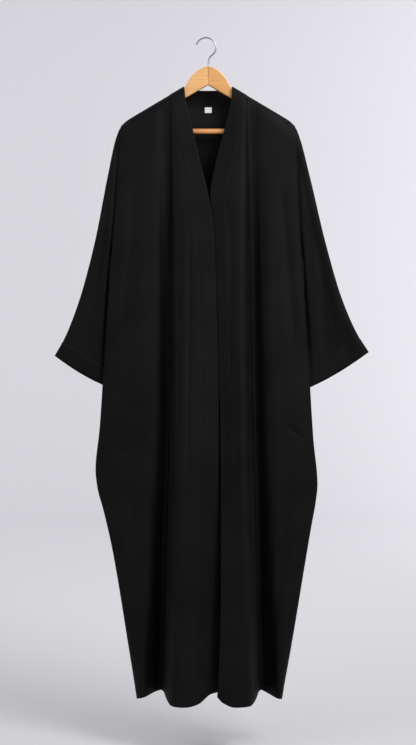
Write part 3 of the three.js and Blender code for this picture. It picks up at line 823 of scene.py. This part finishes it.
def make_sleeve(name):
    """A flattened tube: rings of a squared oval between an upper and a lower line."""
    side = SIDES[name]
    rows = side.sleeve
    at = np.concatenate([np.linspace(0, 6, UPPER_RINGS), np.linspace(6, 7, CUFF_RINGS)[1:]])[:, None]
    value = {key: line(rows, key, "i")(at) for key in rows if key != "i"}
    angle = np.linspace(0, 2 * math.pi, SLEEVE_SIDES + 1)[:-1][None, :]
    power = 2 / TUBE_POWER
    along = np.sign(np.cos(angle)) * np.abs(np.cos(angle)) ** power
    deep = np.sign(np.sin(angle)) * np.abs(np.sin(angle)) ** power
    top = np.stack([value["topOut"], value["topZ"]], axis=-1)
    low = np.stack([value["lowOut"], value["lowZ"]], axis=-1)
    place = (top + low) / 2 + (top - low) / 2 * along[..., None]
    y = tube_middle(value["y"], (1 - along) / 2) - deep * value["half"]
    onward = np.gradient((top + low) / 2, axis=0)
    onward /= np.linalg.norm(onward, axis=-1, keepdims=True)
    sag = mix(CUFF_SAG_BACK, CUFF_SAG_FRONT, smooth(deep, -0.4, 0.4)) * (1 - along**2) * smooth(at, 5.7, 7)
    place = place + onward * sag[..., None]
    grid = to_side(np.stack([place[..., 0], y + 0 * place[..., 0], place[..., 1]], axis=-1), side)
    closed = np.concatenate([grid[:, -2:], grid, grid[:, :2]], axis=1)
    normals = grid_normals(closed)[:, 2:-2]
    if ((grid - grid.mean(axis=1, keepdims=True)) * normals).sum() < 0:
        normals = -normals
    length = lengths_down(grid)
    from_cuff = length[-1] - length
    facing = smooth(-normals[..., 1], 0.2, 0.8) - smooth(normals[..., 1], 0.2, 0.8)
    folds = SLEEVE_FOLDS[name] + [ARMHOLE_CREASE[name]]
    distance = -np.abs(facing) * pushed_in(grid, folds) + hem_relief(from_cuff, CUFF_HEM) - HEM_RISE
    # Its start is inside the body and flares against it, so that no light shows through the seam
    distance = distance + ARMHOLE_FLARE * (1 - smooth(at, 0, 0.6))
    outer = grid + normals * distance[..., None]
    inner = outer - normals * cloth_settings().thickness / MM
    piece = shell(f"crepe_sleeve_{name}", outer, inner, crepe(), ring=True)
    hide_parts(f"sleeve_{name}")
    row = int(np.argmin(np.abs(from_cuff[:, 40] - CUFF_HEM)))
    loop = np.concatenate([outer[row], outer[row, :1]])
    out_of = np.concatenate([(outer - inner)[row], (outer - inner)[row, :1]])
    return piece, [stitches(f"cuff_stitches_{name}", loop, out_of)]


def make_label():
    """A plain patch of tape on the inside of the back, just under the neck seam, a little curled at its
    foot."""
    across, down_share = np.meshgrid(np.linspace(0, 1, LABEL_COLUMNS), np.linspace(0, 1, LABEL_ROWS))
    z = mix(LABEL_TOP, LABEL_LOW, down_share)
    drop = (NECK_BACK_Z - z) * FULL_DROP / (NECK_BACK_Z - BACK_HEM_MIDDLE)
    behind = back_surface(SIDES["left"], np.ones_like(z), drop)[..., 1]
    y = behind - LABEL_OFF - LABEL_CURL * down_share**3 - 0.15 * np.sin(math.pi * across)
    grid = to_side(np.stack([mix(LABEL_LEFT, LABEL_RIGHT, across), y, z], axis=-1), SIDES["left"])
    inner = grid - np.array([0, LABEL_THICK, 0])
    piece = shell("woven_neck_label", grid, inner, tape_material())
    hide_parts("neck_label")
    return piece


class MESH_OT_abaya_fronts(bpy.types.Operator):
    """Make both fronts and their bands"""
    bl_idname = "mesh.abaya_fronts"
    bl_label = "Fronts and band"

    def execute(self, context):
        for name in SIDES:
            front, sewn = make_front(name)
            band, sewn = make_band(name)
        return {"FINISHED"}


class MESH_OT_abaya_back(bpy.types.Operator):
    """Make the back in one piece, and its neck label"""
    bl_idname = "mesh.abaya_back"
    bl_label = "Back and label"

    def execute(self, context):
        piece, sewn = make_back()
        label = make_label()
        return {"FINISHED"}


class MESH_OT_abaya_sleeves(bpy.types.Operator):
    """Make both sleeves as open tubes"""
    bl_idname = "mesh.abaya_sleeves"
    bl_label = "Sleeves"

    def execute(self, context):
        for name in SIDES:
            piece, sewn = make_sleeve(name)
        return {"FINISHED"}


class MESH_OT_abaya_hanger(bpy.types.Operator):
    """Finish the hanger's wood and wire"""
    bl_idname = "mesh.abaya_hanger"
    bl_label = "Hanger"

    def execute(self, context):
        slope = math.atan2(SHOULDER_Z - NECK_Z, SHOULDER_OUT - NECK_OUT)
        finishes = {
            # Both arms are the same beech: the right arm's colours are painted lighter and the left arm's
            # darker, as painted light and painted shade for the two arms facing the light differently
            "hanger_arm_right": wood_material("lacquered_beech_painted_lit", "E4B278", "D89F62", slope),
            "hanger_arm_left": wood_material("lacquered_beech_painted_shade", "DAA162", "CB9050", -slope),
            "hanger_bar": wood_material("lacquered_beech_rod", "E3A163", "CC8449", 0.0),
            "hanger_hook": chrome_material(),
        }
        for name, material in finishes.items():
            piece = bpy.data.objects[name]
            piece.data.materials.clear()
            piece.data.materials.append(material)
        return {"FINISHED"}


CAMERA_DISTANCE = 4.0
PIXEL = 2.4 * MM
PHOTO_HEIGHT = 745
HOOK_ROW = 38.4
FLOOR_Z = -1.7


class MESH_OT_abaya_stage(bpy.types.Operator):
    """Make the camera, the soft lights and the pale sweep behind the garment"""
    bl_idname = "mesh.abaya_stage"
    bl_label = "Stage"

    def execute(self, context):
        scene = context.scene
        middle_z = (HOOK_ROW - PHOTO_HEIGHT / 2) * PIXEL
        data = bpy.data.cameras.new("photo_camera")
        data.sensor_width = 36.0
        data.lens = 36.0 * CAMERA_DISTANCE / (PHOTO_HEIGHT * PIXEL)
        camera = bpy.data.objects.new("photo_camera", data)
        camera.location = (HANG_SHIFT * MM, -CAMERA_DISTANCE, middle_z)
        camera.rotation_euler = (math.pi / 2, 0, 0)
        scene.collection.objects.link(camera)
        scene.camera = camera
        scene.view_settings.view_transform = "Standard"
        self.sweep()
        self.light("key", (1.6, -2.1, 1.2), 1.7, 78, (1.0, 0.99, 0.97), (0.0, 0.0, -0.5))
        self.light("fill", (-2.4, -2.2, 0.6), 2.4, 18, (0.96, 0.97, 1.0), (0.0, 0.0, -0.6))
        self.light("paper_right", (5.5, 4.0, 1.5), 3.0, 420, (1.0, 1.0, 1.0), (1.6, 9.5, -0.8))
        self.light("paper_left", (-5.5, 4.0, 1.5), 3.0, 190, (1.0, 1.0, 1.0), (-1.6, 9.5, -0.8))
        self.light("floor", (0.0, 1.8, 1.4), 2.6, 34, (1.0, 1.0, 1.0), (0.0, 0.4, -1.7))
        world = bpy.data.worlds.new("studio")
        world.use_nodes = True
        background = world.node_tree.nodes["Background"]
        background.inputs["Color"].default_value = colour("E6E6E9")
        background.inputs["Strength"].default_value = 0.62
        scene.world = world
        return {"FINISHED"}

    def light(self, name, place, size, power, tint, target):
        data = bpy.data.lights.new(name, "AREA")
        data.shape = "DISK"
        data.size = size
        data.energy = power
        data.color = tint
        lamp = bpy.data.objects.new(name, data)
        lamp.location = place
        lamp.rotation_euler = (Vector(target) - Vector(place)).to_track_quat("-Z", "Y").to_euler()
        bpy.context.scene.collection.objects.link(lamp)

    def sweep(self):
        """Floor and wall in one: a flat floor, a quarter circle and an upright wall, carried sideways. The
        wall stands 9.5 m back, because a camera that goes round the garment is 7.4 m from it."""
        radius, back, front, wall_top, half = 3.5, 6.0, -14.0, 9.0, 14.0
        turn = np.linspace(0, math.pi / 2, 25)
        y = np.concatenate([[front], back + radius * np.sin(turn), [back + radius]])
        z = np.concatenate([[FLOOR_Z], FLOOR_Z + radius * (1 - np.cos(turn)), [wall_top]])
        points = np.array([[x, b, c] for x in (-half, half) for b, c in zip(y, z)])
        count = len(y)
        faces = [(i, i + count, i + count + 1, i + 1) for i in range(count - 1)]
        mesh = bpy.data.meshes.new("paper_sweep")
        mesh.from_pydata(points.tolist(), [], faces)
        mesh.polygons.foreach_set("use_smooth", [True] * len(faces))
        material, tree, shader = new_material("matt_background_paper")
        place = node(tree, "ShaderNodeTexCoord")
        fibre = node(tree, "ShaderNodeTexNoise", links={"Vector": place.outputs["Object"]}, Scale=60.0)
        bump = node(tree, "ShaderNodeBump", links={"Height": fibre.outputs["Fac"]},
                    Strength=0.05, Distance=0.0005)
        tree.links.new(bump.outputs["Normal"], shader.inputs["Normal"])
        shader.inputs["Base Color"].default_value = colour("C6C5C9")
        shader.inputs["Roughness"].default_value = 0.9
        mesh.materials.append(material)
        stage = bpy.data.objects.new("paper_sweep", mesh)
        bpy.context.scene.collection.objects.link(stage)


class VIEW3D_PT_abaya(bpy.types.Panel):
    bl_label = "Open-front abaya"
    bl_space_type = "VIEW_3D"
    bl_region_type = "UI"
    bl_category = "Abaya"

    def draw(self, context):
        for key in ("thickness", "band_width", "front_rows", "front_columns"):
            self.layout.prop(context.scene.abaya_cloth, key)
        for operator in OPERATORS:
            self.layout.operator(operator.bl_idname)


OPERATORS = (MESH_OT_abaya_fronts, MESH_OT_abaya_back, MESH_OT_abaya_sleeves,
             MESH_OT_abaya_hanger, MESH_OT_abaya_stage)
CLASSES = (AbayaCloth,) + OPERATORS + (VIEW3D_PT_abaya,)


def register():
    for item in CLASSES:
        bpy.utils.register_class(item)
    bpy.types.Scene.abaya_cloth = bpy.props.PointerProperty(type=AbayaCloth)


def unregister():
    del bpy.types.Scene.abaya_cloth
    for item in reversed(CLASSES):
        bpy.utils.unregister_class(item)


def main():
    register()
    bpy.ops.mesh.abaya_fronts()
    bpy.ops.mesh.abaya_back()
    bpy.ops.mesh.abaya_sleeves()
    bpy.ops.mesh.abaya_hanger()
    bpy.ops.mesh.abaya_stage()


if __name__ == "__main__":
    main()
